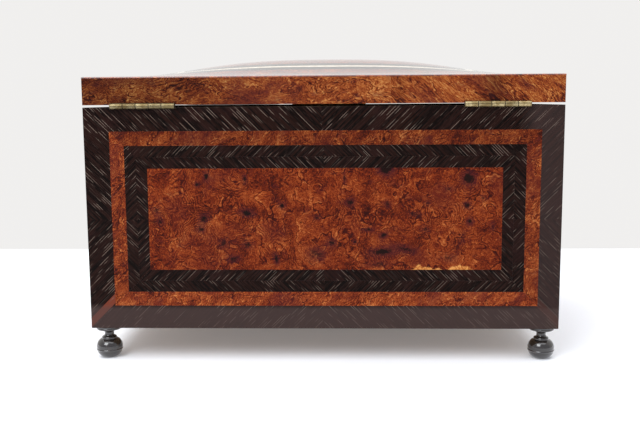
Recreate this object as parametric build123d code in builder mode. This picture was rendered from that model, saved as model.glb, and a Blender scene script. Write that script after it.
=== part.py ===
"""Veneered casket: a mitre-banded box on four turned feet, with a pillow-domed lid on two brass butt hinges.

Millimetres. +Z is up, the front looks along -Y and the back, with the hinges, along +Y. The origin is the
bottom centre of the bounding box: on the surface that the feet stand on, midway in X and midway in Y between
the keyhole escutcheon and the hinge barrels.
"""

import os

from build123d import *

# Driving dimensions of the closed casket.
width = 295.0
depth = 210.0
foot_height = 20.7
body_height = 139.4
lid_gap = 1.4
lid_edge = 17.2
dome_rise = 14.0

# Boards and sheets.
veneer = 0.9
glue_line = 0.02
board = 9.0
base_board = 6.0
corner_rebate = 5.0
lid_rail = 12.2
lining = 1.5
lining_drop = 3.0
liner_pad = 3.0
liner_margin = 0.4

# Marquetry of the four upright faces: band widths from the outer edge inwards.
outer_band = 14.8
burl_band = 8.9
inner_band = 14.15
rear_inlay_shift = 1.2

# Marquetry of the lid's top: distance of each band's inner edge from the lid's outline.
top_insets = {"border": 38.0, "outer_band": 47.5, "stringing": 52.5, "inner_band": 62.5}

# Shape of the dome: how flat each arch is, and the grid of heights its surface runs through.
arch_along = 2.8
arch_across = 2.0
dome_grid = (33, 25)

# Butt hinges: five knuckles, leaves let in flush, the barrel just outside the back.
hinge_x = {"left": -106.7, "right": 109.9}
hinge_length = 40.0
knuckles = 5
knuckle_r = 1.9
leaf = 1.2
leaf_reach = 9.4
barrel_out = 1.0
pin_r = 0.8
running = 0.05
knuckle_play = 0.15
hinge_screw_pitch = 13.0
hinge_screw_y = 5.6

# Countersunk slotted screws.
screw_head_r = 1.6
screw_shank_r = 0.75
screw_head = 0.95
hinge_screw = 8.0

# Link-plate lock let into the front from inside, with its bolt thrown sideways through two staples.
lock_half = 26.0
lock_height = 33.0
lock_setback = 2.4
sheet = 1.0
plate = 1.6
plate_half = 31.0
plate_screw_x = 28.4
strike_half = 25.0
strike_screw_x = 20.5
staple_x = 12.0
staple_thick = 2.0
staple_wide = 4.2
staple_down = 8.6
eye_wide = 2.6
eye_top = 3.4
eye_high = 3.8
slot_wide = 5.4
slot_long = 3.2
bolt_throw = 4.5
bolt_thick = 2.0
bolt_bar_top = 12.0
bolt_bar_bottom = 18.0
finger_play = 0.3
finger_long = 4.4
arm_wide = 2.5
stud_r = 1.2
stud_x = (-13.0, 8.0)
keyhole_down = 23.0
keyhole_r = 2.3
keyhole_slot = 2.2
keyhole_drop = 7.0
drill_pin_r = 1.1
escutcheon = 0.8
escutcheon_half = (6.5, 10.0)
escutcheon_below = 1.6
lock_play = 0.1
lining_play = 1.0
slot_play = 0.2
stud_play = 0.15
talon = (-4.0, 0.5, 1.2)
spring_x = -4.5
spring_half = 6.0
spring_bow = 2.0
spring_thick = 0.4
spring_width = 2.4

# Turned foot.
foot_inset = 8.8
foot_dowel_r = 3.0
foot_dowel = 5.0

# Levels and faces that follow from them.
barrel_proud = barrel_out + knuckle_r
box_y = (escutcheon - barrel_proud) / 2
front_y = box_y - depth / 2
rear_y = box_y + depth / 2
left_x = -width / 2
right_x = width / 2
body_top = foot_height + body_height
body_mid = foot_height + body_height / 2
walls_bottom = foot_height + base_board
lid_bottom = body_top + lid_gap
lid_shoulder = lid_bottom + lid_edge
board_bottom = lid_bottom + lid_rail
barrel_y = rear_y + barrel_out
barrel_z = body_top + lid_gap / 2
wall_inside = veneer + board
lock_mid_y = front_y + lock_setback + sheet + (wall_inside - lock_setback - 2 * sheet) / 2
plate_top = body_top + lid_gap / 2 - 0.05
strike_bottom = body_top + lid_gap / 2

FACES = {
    "front": Plane((0, front_y, body_mid), x_dir=(1, 0, 0), z_dir=(0, -1, 0)),
    "rear": Plane((0, rear_y, body_mid), x_dir=(-1, 0, 0), z_dir=(0, 1, 0)),
    "left": Plane((left_x, box_y, body_mid), x_dir=(0, -1, 0), z_dir=(-1, 0, 0)),
    "right": Plane((right_x, box_y, body_mid), x_dir=(0, 1, 0), z_dir=(1, 0, 0)),
}
MIN, MID, MAX = Align.MIN, Align.CENTER, Align.MAX

os.makedirs("parts", exist_ok=True)


def keep(piece, name):
    """Label a finished piece and write it as its own STEP file."""
    piece.part.label = name
    export_step(piece.part, f"parts/{name}.step")


def block(x0, x1, y0, y1, z0, z1, mode=Mode.ADD):
    """Rectangular block between two corners, added to the piece being made."""
    with Locations(((x0 + x1) / 2, (y0 + y1) / 2, (z0 + z1) / 2)):
        Box(x1 - x0, y1 - y0, z1 - z0, mode=mode)


def screw(places, length, grow=0.0, mode=Mode.ADD):
    """Countersunk screws with their heads at places, whose +Z points out of the head."""
    with Locations(*places):
        Cone(screw_shank_r + grow, screw_head_r + grow, screw_head, align=(MID, MID, MAX), mode=mode)
        Cylinder(screw_shank_r + grow, length + grow, align=(MID, MID, MAX), mode=mode)
        if mode == Mode.ADD:
            Box(2 * screw_head_r, 0.4, 0.4, align=(MID, MID, MAX), mode=Mode.SUBTRACT)


def hinge_screw_places(up):
    """Head planes of one leaf's three screws on both hinges: the body's look up, the lid's look down."""
    level = body_top if up else lid_bottom
    facing = 1 if up else -1
    return [
        Plane((x + step * hinge_screw_pitch, rear_y - hinge_screw_y, level), z_dir=(0, 0, facing))
        for x in hinge_x.values()
        for step in (-1, 0, 1)
    ]


def plate_screw_places(reach, level, facing):
    """Head planes of the two screws of a lock plate."""
    return [Plane((side * reach, lock_mid_y, level), z_dir=(0, 0, facing)) for side in (-1, 1)]


def cut_leaf_seats(lid):
    """Shallow mortises for the hinge leaves, open to the back."""
    z0, z1 = (lid_bottom, lid_bottom + leaf) if lid else (body_top - leaf, body_top)
    for x in hinge_x.values():
        half = hinge_length / 2
        block(x - half, x + half, barrel_y - leaf_reach, rear_y + 1, z0, z1, mode=Mode.SUBTRACT)


def cut_keyhole(deep):
    """Keyhole through whatever lies within deep of the front face."""
    behind = Plane((0, front_y + deep, body_top - keyhole_down), x_dir=(1, 0, 0), z_dir=(0, -1, 0))
    with BuildSketch(behind) as outline:
        Circle(keyhole_r)
        Rectangle(keyhole_slot, keyhole_drop, align=(MID, MAX))
    extrude(outline.sketch, amount=deep + 2, mode=Mode.SUBTRACT)


# ---------------------------------------------------------------- carcase

with BuildPart() as bottom_board:
    block(left_x + veneer, right_x - veneer, front_y + veneer, rear_y - veneer, foot_height, walls_bottom)
    with Locations(*[
        (sx * (width / 2 - foot_inset), box_y + sy * (depth / 2 - foot_inset), foot_height)
        for sx in (-1, 1)
        for sy in (-1, 1)
    ]):
        Cylinder(foot_dowel_r + running, foot_dowel + running, align=(MID, MID, MIN), mode=Mode.SUBTRACT)
keep(bottom_board, "bottom_board")

for name, face_y, inward in (("front_wall", front_y, 1), ("rear_wall", rear_y, -1)):
    outside = face_y + inward * veneer
    inside = face_y + inward * wall_inside
    rebate = inside - inward * corner_rebate
    with BuildPart() as wall:
        block(
            left_x + veneer, right_x - veneer, min(outside, inside), max(outside, inside), walls_bottom, body_top
        )
        for x0, x1 in ((left_x, left_x + wall_inside), (right_x - wall_inside, right_x)):
            block(
                x0, x1, min(rebate, inside), max(rebate, inside), walls_bottom, body_top, mode=Mode.SUBTRACT
            )
        if name == "rear_wall":
            cut_leaf_seats(lid=False)
            screw(hinge_screw_places(up=True), hinge_screw, running, mode=Mode.SUBTRACT)
        else:
            block(
                -lock_half - lock_play, lock_half + lock_play, front_y + lock_setback - lock_play, inside,
                body_top - lock_height - lock_play, body_top, mode=Mode.SUBTRACT,
            )
            block(
                -plate_half - lock_play, plate_half + lock_play, front_y + lock_setback - lock_play, inside,
                plate_top - plate, body_top, mode=Mode.SUBTRACT,
            )
            screw(plate_screw_places(plate_screw_x, plate_top, 1), hinge_screw, running, mode=Mode.SUBTRACT)
            cut_keyhole(wall_inside)
    keep(wall, name)

for name, x0, x1 in (
    ("left_wall", left_x + veneer, left_x + wall_inside),
    ("right_wall", right_x - wall_inside, right_x - veneer),
):
    reach = wall_inside - corner_rebate
    with BuildPart() as wall:
        block(x0, x1, front_y + reach, rear_y - reach, walls_bottom, body_top)
    keep(wall, name)

# ---------------------------------------------------------------- marquetry of the upright faces

for side, face in FACES.items():
    long_face = side in ("front", "rear")
    face_width = width if long_face else depth - 2 * veneer
    shift = rear_inlay_shift if side == "rear" else 0
    margins = [0, outer_band, outer_band + burl_band, outer_band + burl_band + inner_band]
    names = [f"{side}_outer_band", f"{side}_burl_band", f"{side}_inner_band", f"{side}_centre_panel"]
    for i, name in enumerate(names):
        with BuildPart() as sheet_piece:
            with BuildSketch(face):
                with Locations((shift if i else 0, 0)):
                    Rectangle(face_width - 2 * margins[i], body_height - 2 * margins[i])
                if i < 3:
                    with Locations((shift, 0)):
                        Rectangle(
                            face_width - 2 * margins[i + 1],
                            body_height - 2 * margins[i + 1],
                            mode=Mode.SUBTRACT,
                        )
            extrude(amount=-veneer)
            if side == "front":
                cut_keyhole(veneer)
            if side == "rear" and i == 0:
                cut_leaf_seats(lid=False)
        keep(sheet_piece, name)

# ---------------------------------------------------------------- feet

for sx, sy, name in (
    (-1, -1, "foot_front_left"),
    (1, -1, "foot_front_right"),
    (-1, 1, "foot_rear_left"),
    (1, 1, "foot_rear_right"),
):
    foot_x = sx * (width / 2 - foot_inset)
    foot_y = box_y + sy * (depth / 2 - foot_inset)
    with BuildPart() as foot:
        with BuildSketch(Plane((foot_x, foot_y, 0), x_dir=(1, 0, 0), z_dir=(0, -1, 0))):
            with BuildLine():
                Line((0, 0), (3.9, 0))
                ThreePointArc((3.9, 0), (6.5, 1.6), (8.1, 4.8))
                Polyline((8.1, 4.8), (8.4, 5.05), (8.4, 5.45), (8.2, 5.7))
                ThreePointArc((8.2, 5.7), (7.75, 9.4), (5.2, 12.1))
                Polyline((5.2, 12.1), (4.8, 12.2), (4.8, 13.1), (3.6, 13.8))
                ThreePointArc((3.6, 13.8), (2.9, 15.3), (3.3, 16.6))
                ThreePointArc((3.3, 16.6), (4.7, 17.7), (7.0, 18.2))
                Polyline((7.0, 18.2), (7.9, 18.8), (7.9, foot_height), (foot_dowel_r, foot_height))
                Line((foot_dowel_r, foot_height), (foot_dowel_r, foot_height + foot_dowel))
                Line((foot_dowel_r, foot_height + foot_dowel), (0, foot_height + foot_dowel))
                Line((0, foot_height + foot_dowel), (0, 0))
            make_face()
        revolve(axis=Axis((foot_x, foot_y, 0), (0, 0, 1)))
    keep(foot, name)

# ---------------------------------------------------------------- lining of the box

lining_top = body_top - lining_drop
inner_left, inner_right = left_x + wall_inside, right_x - wall_inside
inner_front, inner_rear = front_y + wall_inside, rear_y - wall_inside
with BuildPart() as wall_linings:
    block(inner_left, inner_right, inner_front, inner_front + lining, walls_bottom, lining_top)
    block(
        -lock_half - lining_play, lock_half + lining_play, inner_front, inner_front + lining,
        body_top - lock_height - lining_play, lining_top, mode=Mode.SUBTRACT,
    )
    block(inner_left, inner_right, inner_rear - lining, inner_rear, walls_bottom, lining_top)
    for x0, x1 in (
        (inner_left, inner_left + lining),
        (inner_right - lining, inner_right),
    ):
        block(
            x0, x1, inner_front + lining + running, inner_rear - lining - running, walls_bottom, lining_top
        )
keep(wall_linings, "wall_linings")

pad_edge = lining + liner_margin
with BuildPart() as base_pad:
    with BuildSketch(Plane((0, box_y, walls_bottom))):
        RectangleRounded(
            inner_right - inner_left - 2 * pad_edge, inner_rear - inner_front - 2 * pad_edge, radius=2
        )
    extrude(amount=liner_pad)
keep(base_pad, "base_pad")

# ---------------------------------------------------------------- hinges

for side, x in hinge_x.items():
    start = x - hinge_length / 2
    step = hinge_length / knuckles
    for part_name, facing, own in (("body_leaf", -1, (0, 2, 4)), ("lid_leaf", 1, (1, 3))):
        with BuildPart() as hinge_leaf:
            with BuildSketch(Plane((start, barrel_y, barrel_z), x_dir=(0, 1, 0), z_dir=(1, 0, 0))):
                Circle(knuckle_r)
                with Locations((0, facing * (knuckle_r - leaf / 2))):
                    Rectangle(leaf_reach, leaf, align=(MAX, MID))
                Circle(pin_r + running, mode=Mode.SUBTRACT)
            extrude(amount=hinge_length)
            for k in range(knuckles):
                if k not in own:
                    reach = knuckle_r + 2 * knuckle_play
                    block(
                        start + k * step - knuckle_play, start + (k + 1) * step + knuckle_play,
                        barrel_y - reach, barrel_y + reach, barrel_z - reach, barrel_z + reach,
                        mode=Mode.SUBTRACT,
                    )
            screw(hinge_screw_places(up=facing < 0), hinge_screw, running, mode=Mode.SUBTRACT)
        keep(hinge_leaf, f"hinge_{side}_{part_name}")
    with BuildPart() as hinge_pin:
        with BuildSketch(Plane((start, barrel_y, barrel_z), z_dir=(1, 0, 0))):
            Circle(pin_r)
        extrude(amount=hinge_length)
        chamfer(hinge_pin.edges().filter_by(GeomType.CIRCLE), 0.2)
    keep(hinge_pin, f"hinge_{side}_pin")

for name, up in (("body_hinge_screws", True), ("lid_hinge_screws", False)):
    with BuildPart() as screws:
        screw(hinge_screw_places(up), hinge_screw)
    keep(screws, name)

# ---------------------------------------------------------------- lock

case_front = front_y + lock_setback
case_rear = front_y + wall_inside
cavity_top = plate_top - plate

with BuildPart() as lock_case:
    block(-lock_half, lock_half, case_front, case_rear - sheet, body_top - lock_height, cavity_top)
    block(
        sheet - lock_half, lock_half - sheet, case_front + sheet, case_rear,
        body_top - lock_height + sheet, cavity_top, mode=Mode.SUBTRACT,
    )
    block(-plate_half, plate_half, case_front, case_rear, cavity_top, plate_top)
    for x in (-staple_x, staple_x):
        block(
            x - slot_long / 2, x + slot_long / 2, lock_mid_y - slot_wide / 2, lock_mid_y + slot_wide / 2,
            cavity_top, plate_top, mode=Mode.SUBTRACT,
        )
    stud_z = body_top - (bolt_bar_top + bolt_bar_bottom) / 2
    for x in stud_x:
        with BuildSketch(Plane((x, case_front + sheet, stud_z), z_dir=(0, 1, 0))):
            Circle(stud_r)
        extrude(amount=case_rear - case_front - 2 * sheet - 0.1)
    cut_keyhole(lock_setback + sheet)
    screw(plate_screw_places(plate_screw_x, plate_top, 1), hinge_screw, running, mode=Mode.SUBTRACT)
keep(lock_case, "lock_case")

with BuildPart() as lock_cover:
    block(-lock_half, lock_half, case_rear - sheet, case_rear, body_top - lock_height, cavity_top)
    with BuildSketch(Plane((0, case_rear - sheet, body_top - keyhole_down), z_dir=(0, -1, 0))):
        Circle(drill_pin_r)
    extrude(amount=case_rear - case_front - sheet)
keep(lock_cover, "lock_cover")

with BuildPart() as lock_bolt:
    bolt_front, bolt_rear = lock_mid_y - bolt_thick / 2, lock_mid_y + bolt_thick / 2
    bar_top, bar_bottom = body_top - bolt_bar_top, body_top - bolt_bar_bottom
    finger_top = body_top - eye_top - finger_play
    finger_bottom = body_top - eye_top - eye_high + finger_play
    for x in (-staple_x, staple_x):
        arm_right = x - staple_thick / 2 - bolt_throw - finger_play
        block(arm_right - arm_wide, arm_right, bolt_front, bolt_rear, bar_top, finger_top)
        block(arm_right, arm_right + finger_long, bolt_front, bolt_rear, finger_bottom, finger_top)
    bar_left = -staple_x - staple_thick / 2 - bolt_throw - finger_play - arm_wide
    block(bar_left, staple_x, bolt_front, bolt_rear, bar_bottom, bar_top)
    for x in stud_x:
        slot_left = x - bolt_throw - stud_r - slot_play
        slot_right = x + stud_r + slot_play
        block(
            slot_left, slot_right, bolt_front, bolt_rear,
            stud_z - stud_r - stud_play, stud_z + stud_r + stud_play, mode=Mode.SUBTRACT,
        )
    block(talon[0], talon[1], bolt_front, bolt_rear, bar_bottom, bar_bottom + talon[2], mode=Mode.SUBTRACT)
keep(lock_bolt, "lock_bolt")

with BuildPart() as lock_spring:
    spring_plane = Plane(
        (spring_x, lock_mid_y + spring_width / 2, bar_top + slot_play), x_dir=(1, 0, 0), z_dir=(0, -1, 0)
    )
    tip = spring_half - spring_thick * 0.75
    with BuildSketch(spring_plane):
        with BuildLine():
            ThreePointArc((-spring_half, lock_play), (0, lock_play + spring_bow), (spring_half, lock_play))
            Line((spring_half, lock_play), (tip, lock_play + spring_thick))
            ThreePointArc(
                (tip, lock_play + spring_thick), (0, lock_play + spring_bow + spring_thick),
                (-tip, lock_play + spring_thick),
            )
            Line((-tip, lock_play + spring_thick), (-spring_half, lock_play))
        make_face()
    extrude(amount=spring_width)
keep(lock_spring, "lock_spring")

with BuildPart() as lock_screws:
    screw(plate_screw_places(plate_screw_x, plate_top, 1), hinge_screw)
keep(lock_screws, "lock_screws")

with BuildPart() as keyhole_escutcheon:
    middle_z = body_top - keyhole_down - escutcheon_below
    with BuildSketch(Plane((0, front_y, middle_z), x_dir=(1, 0, 0), z_dir=(0, -1, 0))):
        Ellipse(*escutcheon_half)
    extrude(amount=escutcheon)
    cut_keyhole(veneer)
    chamfer(keyhole_escutcheon.faces().sort_by(Axis.Y)[0].outer_wire().edges(), 0.3)
keep(keyhole_escutcheon, "keyhole_escutcheon")

# ---------------------------------------------------------------- lid

lid_rails = (
    ("lid_front_rail", left_x + veneer, right_x - veneer, front_y + veneer, front_y + wall_inside),
    ("lid_rear_rail", left_x + veneer, right_x - veneer, rear_y - wall_inside, rear_y - veneer),
    ("lid_left_rail", left_x + veneer, left_x + wall_inside, front_y + wall_inside, rear_y - wall_inside),
    ("lid_right_rail", right_x - wall_inside, right_x - veneer, front_y + wall_inside, rear_y - wall_inside),
)
for name, x0, x1, y0, y1 in lid_rails:
    with BuildPart() as rail:
        block(x0, x1, y0, y1, lid_bottom, board_bottom)
        if name == "lid_rear_rail":
            cut_leaf_seats(lid=True)
            screw(hinge_screw_places(up=False), hinge_screw, running, mode=Mode.SUBTRACT)
        if name == "lid_front_rail":
            block(
                -strike_half - lock_play, strike_half + lock_play, case_front - lock_play, case_rear,
                lid_bottom, strike_bottom + plate, mode=Mode.SUBTRACT,
            )
            screw(
                plate_screw_places(strike_screw_x, strike_bottom, -1), hinge_screw, running, mode=Mode.SUBTRACT
            )
    keep(rail, name)


def dome(x, y):
    """Height of the lid's top over its shoulder: a pillow, level along the rim and highest in the middle."""
    along = 1 - abs(x / (width / 2)) ** arch_along
    across = 1 - abs((y - box_y) / (depth / 2)) ** arch_across
    return dome_rise * (max(along, 0) * max(across, 0)) ** 2


def dome_face(drop):
    """The lid's top surface, lowered by drop and run through a grid of its own heights."""
    columns, rows = dome_grid
    grid = [
        [
            Vector(
                left_x + width * i / (columns - 1),
                front_y + depth * j / (rows - 1),
                lid_shoulder - drop
                + dome(left_x + width * i / (columns - 1), front_y + depth * j / (rows - 1)),
            )
            for j in range(rows)
        ]
        for i in range(columns)
    ]
    return Face.make_surface_from_array_of_points(grid, tol=0.01)


top_surface = dome_face(0)
board_surface = dome_face(veneer)

with BuildPart() as lid_top_board:
    extrude(board_surface, amount=lid_shoulder - veneer - board_bottom + dome_rise + 5, dir=(0, 0, -1))
    with BuildSketch(Plane((0, box_y, board_bottom))):
        Rectangle(width - 2 * veneer, depth - 2 * veneer)
    extrude(amount=lid_edge + dome_rise, mode=Mode.INTERSECT)
keep(lid_top_board, "lid_top_board")

edge_height = lid_edge - veneer
for side, (x0, x1, y0, y1) in {
    "front": (left_x, right_x, front_y, front_y + veneer),
    "rear": (left_x, right_x, rear_y - veneer, rear_y),
    "left": (left_x, left_x + veneer, front_y + veneer, rear_y - veneer),
    "right": (right_x - veneer, right_x, front_y + veneer, rear_y - veneer),
}.items():
    with BuildPart() as sheet_piece:
        block(x0, x1, y0, y1, lid_bottom, lid_bottom + edge_height)
        if side == "rear":
            cut_leaf_seats(lid=True)
    keep(sheet_piece, f"lid_edge_veneer_{side}")

insets = [0, *top_insets.values()]
for i, name in enumerate(("top_border", "top_outer_band", "top_stringing", "top_inner_band", "top_centre_field")):
    with BuildPart() as sheet_piece:
        extrude(top_surface, amount=veneer - glue_line, dir=(0, 0, -1))
        with BuildSketch(Plane((0, box_y, lid_shoulder - 2 * veneer))):
            Rectangle(width - 2 * insets[i], depth - 2 * insets[i])
            if i < len(insets) - 1:
                Rectangle(width - 2 * insets[i + 1], depth - 2 * insets[i + 1], mode=Mode.SUBTRACT)
        extrude(amount=dome_rise + 4 * veneer, mode=Mode.INTERSECT)
    keep(sheet_piece, name)

with BuildPart() as lid_pad:
    with BuildSketch(Plane((0, box_y, board_bottom - liner_pad))):
        RectangleRounded(
            inner_right - inner_left - 2 * liner_margin, inner_rear - inner_front - 2 * liner_margin, radius=2
        )
    extrude(amount=liner_pad)
keep(lid_pad, "lid_pad")

with BuildPart() as strike_plate:
    block(-strike_half, strike_half, case_front, case_rear, strike_bottom, strike_bottom + plate)
    for x in (-staple_x, staple_x):
        block(
            x - staple_thick / 2, x + staple_thick / 2, lock_mid_y - staple_wide / 2,
            lock_mid_y + staple_wide / 2, body_top - staple_down, strike_bottom,
        )
        block(
            x - staple_thick / 2, x + staple_thick / 2, lock_mid_y - eye_wide / 2, lock_mid_y + eye_wide / 2,
            body_top - eye_top - eye_high, body_top - eye_top, mode=Mode.SUBTRACT,
        )
    screw(plate_screw_places(strike_screw_x, strike_bottom, -1), hinge_screw, running, mode=Mode.SUBTRACT)
keep(strike_plate, "strike_plate")

with BuildPart() as strike_screws:
    screw(plate_screw_places(strike_screw_x, strike_bottom, -1), hinge_screw)
keep(strike_screws, "strike_screws")
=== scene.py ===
# %% [markdown]
# A veneered casket, seen from the back
#
# The casket is a box on four turned feet with a low domed lid. Nearly everything that shows is a thin
# sheet of veneer: dark banding cut across the grain, and thuya burl between the bands. The boards,
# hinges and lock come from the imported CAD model, which is loaded first and never moved. Every new piece
# below takes its place from it.

# %% Load the frame
import math
import bmesh
import bpy
import numpy as np
from mathutils import Matrix, Vector


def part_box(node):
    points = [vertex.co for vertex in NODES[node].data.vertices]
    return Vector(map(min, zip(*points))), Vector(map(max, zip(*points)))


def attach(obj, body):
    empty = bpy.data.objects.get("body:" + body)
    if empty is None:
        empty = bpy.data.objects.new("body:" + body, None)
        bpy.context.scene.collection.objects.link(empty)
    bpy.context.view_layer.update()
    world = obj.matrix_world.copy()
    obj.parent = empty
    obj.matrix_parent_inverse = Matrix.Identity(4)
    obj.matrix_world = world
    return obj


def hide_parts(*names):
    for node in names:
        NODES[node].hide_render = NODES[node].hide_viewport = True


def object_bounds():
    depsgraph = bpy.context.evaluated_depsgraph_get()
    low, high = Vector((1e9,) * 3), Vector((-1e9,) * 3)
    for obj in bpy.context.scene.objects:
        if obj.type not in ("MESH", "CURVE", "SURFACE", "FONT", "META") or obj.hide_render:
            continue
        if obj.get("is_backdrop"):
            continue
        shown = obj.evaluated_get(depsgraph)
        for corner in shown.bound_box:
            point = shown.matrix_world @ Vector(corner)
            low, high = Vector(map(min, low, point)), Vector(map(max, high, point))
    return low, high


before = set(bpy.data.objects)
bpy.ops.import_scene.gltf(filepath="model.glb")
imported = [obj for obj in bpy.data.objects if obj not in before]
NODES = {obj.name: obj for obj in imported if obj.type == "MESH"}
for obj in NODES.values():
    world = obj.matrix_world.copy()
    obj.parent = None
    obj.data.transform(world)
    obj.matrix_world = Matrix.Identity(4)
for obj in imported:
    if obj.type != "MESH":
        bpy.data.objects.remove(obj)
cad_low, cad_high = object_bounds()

MM = 0.001
print("nodes", len(NODES), "size mm", [round(v / MM, 1) for v in cad_high - cad_low])


def box_mm(node):
    """Lowest and highest corner of a CAD node, in millimetres, as arrays."""
    low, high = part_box(node)
    return np.array(low) / MM, np.array(high) / MM


# %% [markdown]
# Shader sums are easier to read as sums. A `Value` holds one output of a node, and adding or
# multiplying two of them puts a Math node in the tree. A `Paint` is a material being mixed: its `add`
# makes any other node, with its settings first and then what goes into its sockets. The pattern maths
# is all in millimetres.

# %% Values and paints
class Value:
    """One node output; arithmetic on it adds Math nodes to its paint."""

    def __init__(self, paint, socket):
        self.paint, self.socket = paint, socket

    def math(self, operation, *others, first=None):
        """One Math node on this value and others, or on first and this value."""
        terms = (self, *others) if first is None else (first, self)
        return self.paint.add("Math", {"operation": operation}, dict(enumerate(terms)))[0]

    def __add__(self, other):
        return self.math("ADD", other)

    def __radd__(self, other):
        return self.math("ADD", other)

    def __sub__(self, other):
        return self.math("SUBTRACT", other)

    def __rsub__(self, other):
        return self.math("SUBTRACT", first=other)

    def __mul__(self, other):
        return self.math("MULTIPLY", other)

    def __rmul__(self, other):
        return self.math("MULTIPLY", other)

    def __truediv__(self, other):
        return self.math("DIVIDE", other)

    def __abs__(self):
        return self.math("ABSOLUTE")


class Paint:
    """A material, or the world: `add` makes one node, `finish` sets the surface's own sockets."""

    def __init__(self, name, owner=None):
        self.material = owner or bpy.data.materials.new(name)
        self.material.use_nodes = True
        self.tree = self.material.node_tree
        self.surface = self.tree.nodes.get("Principled BSDF")

    def add(self, kind, settings=None, inputs=None):
        """A node of this kind, its settings first, then a term for each socket; returns its outputs."""
        node = self.tree.nodes.new("ShaderNode" + kind)
        for name, setting in (settings or {}).items():
            if name == "stops":
                ramp = node.color_ramp
                while len(ramp.elements) < len(setting):
                    ramp.elements.new(0.5)
                for element, (place, tone) in zip(ramp.elements, setting):
                    element.position = place
                    element.color = (*tone, 1)
            else:
                setattr(node, name, setting)
        for socket, term in (inputs or {}).items():
            self.feed(node.inputs[socket], term)
        return [Value(self, out) for out in node.outputs]

    def feed(self, socket, term):
        """Link a Value to a socket, or set a plain number or colour on it."""
        if isinstance(term, Value):
            self.tree.links.new(term.socket, socket)
        else:
            socket.default_value = term

    def finish(self, polish=None, **sockets):
        """Set the surface's sockets: a polish's constants, then what varies; returns the material."""
        for name, term in {**(polish or {}), **sockets}.items():
            self.feed(self.surface.inputs[name.replace("_", " ")], term)
        return self.material


# %% [markdown]
# Every finish needs the same few moves: where am I on the sheet, how noisy is it here, and how do two
# colours mix. They are named once, in millimetres, so that a finish further down reads as a recipe.

# %% Helpers that several finishes share
def face_mm(paint):
    """The piece's own face coordinates in millimetres: a vector, then its parts."""
    raw = paint.add("UVMap", {"uv_map": "face"})[0]
    at = paint.add("VectorMath", {"operation": "SCALE"}, {0: raw, "Scale": 1 / MM})[0]
    u, v, _ = paint.add("SeparateXYZ", None, {0: at})
    return at, u, v


def object_mm(paint, stretch=(1, 1, 1)):
    """Object coordinates in millimetres, stretched along each axis."""
    raw = paint.add("TexCoord")[3]
    scale = tuple(s / MM for s in stretch)
    return paint.add("VectorMath", {"operation": "MULTIPLY"}, {0: raw, 1: scale})[0]


def vector(paint, x, y, z):
    """Three values, or plain numbers, as one vector."""
    return paint.add("CombineXYZ", None, {0: x, 1: y, 2: z})[0]


def noise(paint, at, size, detail=2.0, rough=0.5, twist=0.0):
    """Noise whose features are about size millimetres across: its value and its colour."""
    inputs = {"Vector": at, "Scale": 1 / size, "Detail": detail}
    inputs.update({"Roughness": rough, "Distortion": twist})
    return paint.add("TexNoise", None, inputs)[:2]


def pushed(paint, at, by, reach):
    """Coordinates pushed sideways by a noise colour, up to half of reach."""
    centred = paint.add("VectorMath", {"operation": "SUBTRACT"}, {0: by, 1: (0.5, 0.5, 0.5)})[0]
    scaled = paint.add("VectorMath", {"operation": "SCALE"}, {0: centred, "Scale": reach})[0]
    return paint.add("VectorMath", None, {0: at, 1: scaled})[0]


def rise(paint, value, low, high):
    """0 below low, 1 above high and a smooth slope between; swapped limits fall instead."""
    inputs = {"Value": value, "From Min": low, "From Max": high}
    return paint.add("MapRange", {"interpolation_type": "SMOOTHSTEP"}, inputs)[0]


def mixed(paint, amount, first, second, blend="MIX"):
    """Two colours mixed by amount."""
    inputs = {0: amount, 6: first, 7: second}
    settings = {"data_type": "RGBA", "blend_type": blend}
    return paint.add("Mix", settings, inputs)[2]


def colour(r, g, b):
    """A colour with the fourth number that sockets want."""
    return (r, g, b, 1.0)


def bump(paint, height, reach_mm, strength=1.0):
    """Normal from a height, where a height of 1 stands reach_mm proud."""
    return paint.add("Bump", None, {"Strength": strength, "Distance": reach_mm * MM, "Height": height})[0]


# %% [markdown]
# Thuya burl is the warm wood: a red-brown ground full of tiny curls, with dark pin knots, and growth
# lines that close in loops round every knot. It is grown from noise: a slow one bends the coordinates,
# thin bright curls follow the zero line of a finer noise, and the growth lines are contour lines of a
# slow noise that is lifted at each knot, which is what closes them in loops. Knots that matter are
# listed, with their place and size on the sheet in millimetres; the rest come from a cell
# pattern.

# %% Two polishes
# Upright faces are rubbed dull, the lid's top is french polished.
DULL = {"Specular IOR Level": 0.045, "Coat Weight": 0.012, "Coat Roughness": 0.15}
GLOSS = {"Specular IOR Level": 0.50, "Coat Weight": 1.0, "Coat Roughness": 0.07}


def mark(paint, name):
    """A number kept on the mesh, such as which strip a point belongs to."""
    return paint.add("Attribute", {"attribute_name": name})[2]


print("polishes: dull upright faces, glossy top")


# %% Lines and sapwood in the burl
def growth_lines(paint, bent, curled, curl):
    """Dark and light growth lines: contours of a slow noise, lifted where the mesh says a swirl is."""
    contour = noise(paint, bent, 24.0 * curl, 1.0)[0] * 1.4 + mark(paint, "swirl")
    contour = contour + noise(paint, curled, 6.0 * curl, 2.0)[0] * 0.09
    ring = abs((contour * 19.0).math("FRACT") - 0.5) * 2.0
    where = rise(paint, noise(paint, bent, 15.0 * curl, 1.0)[0] + mark(paint, "ringed"), 0.50, 0.62)
    return rise(paint, ring, 0.70, 0.97) * where, rise(paint, ring, 0.30, 0.02) * where


def stray_lines(paint, bent, curl):
    """Long single lines: a dark one where a slow noise crosses its middle, a light one beside it."""
    slow = noise(paint, bent, 17.0 * curl, 2.0, 0.45)[0]
    dark = rise(paint, abs(slow - 0.5), 0.011, 0.002)
    light = rise(paint, abs(slow - 0.521), 0.013, 0.003)
    return dark, light


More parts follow.
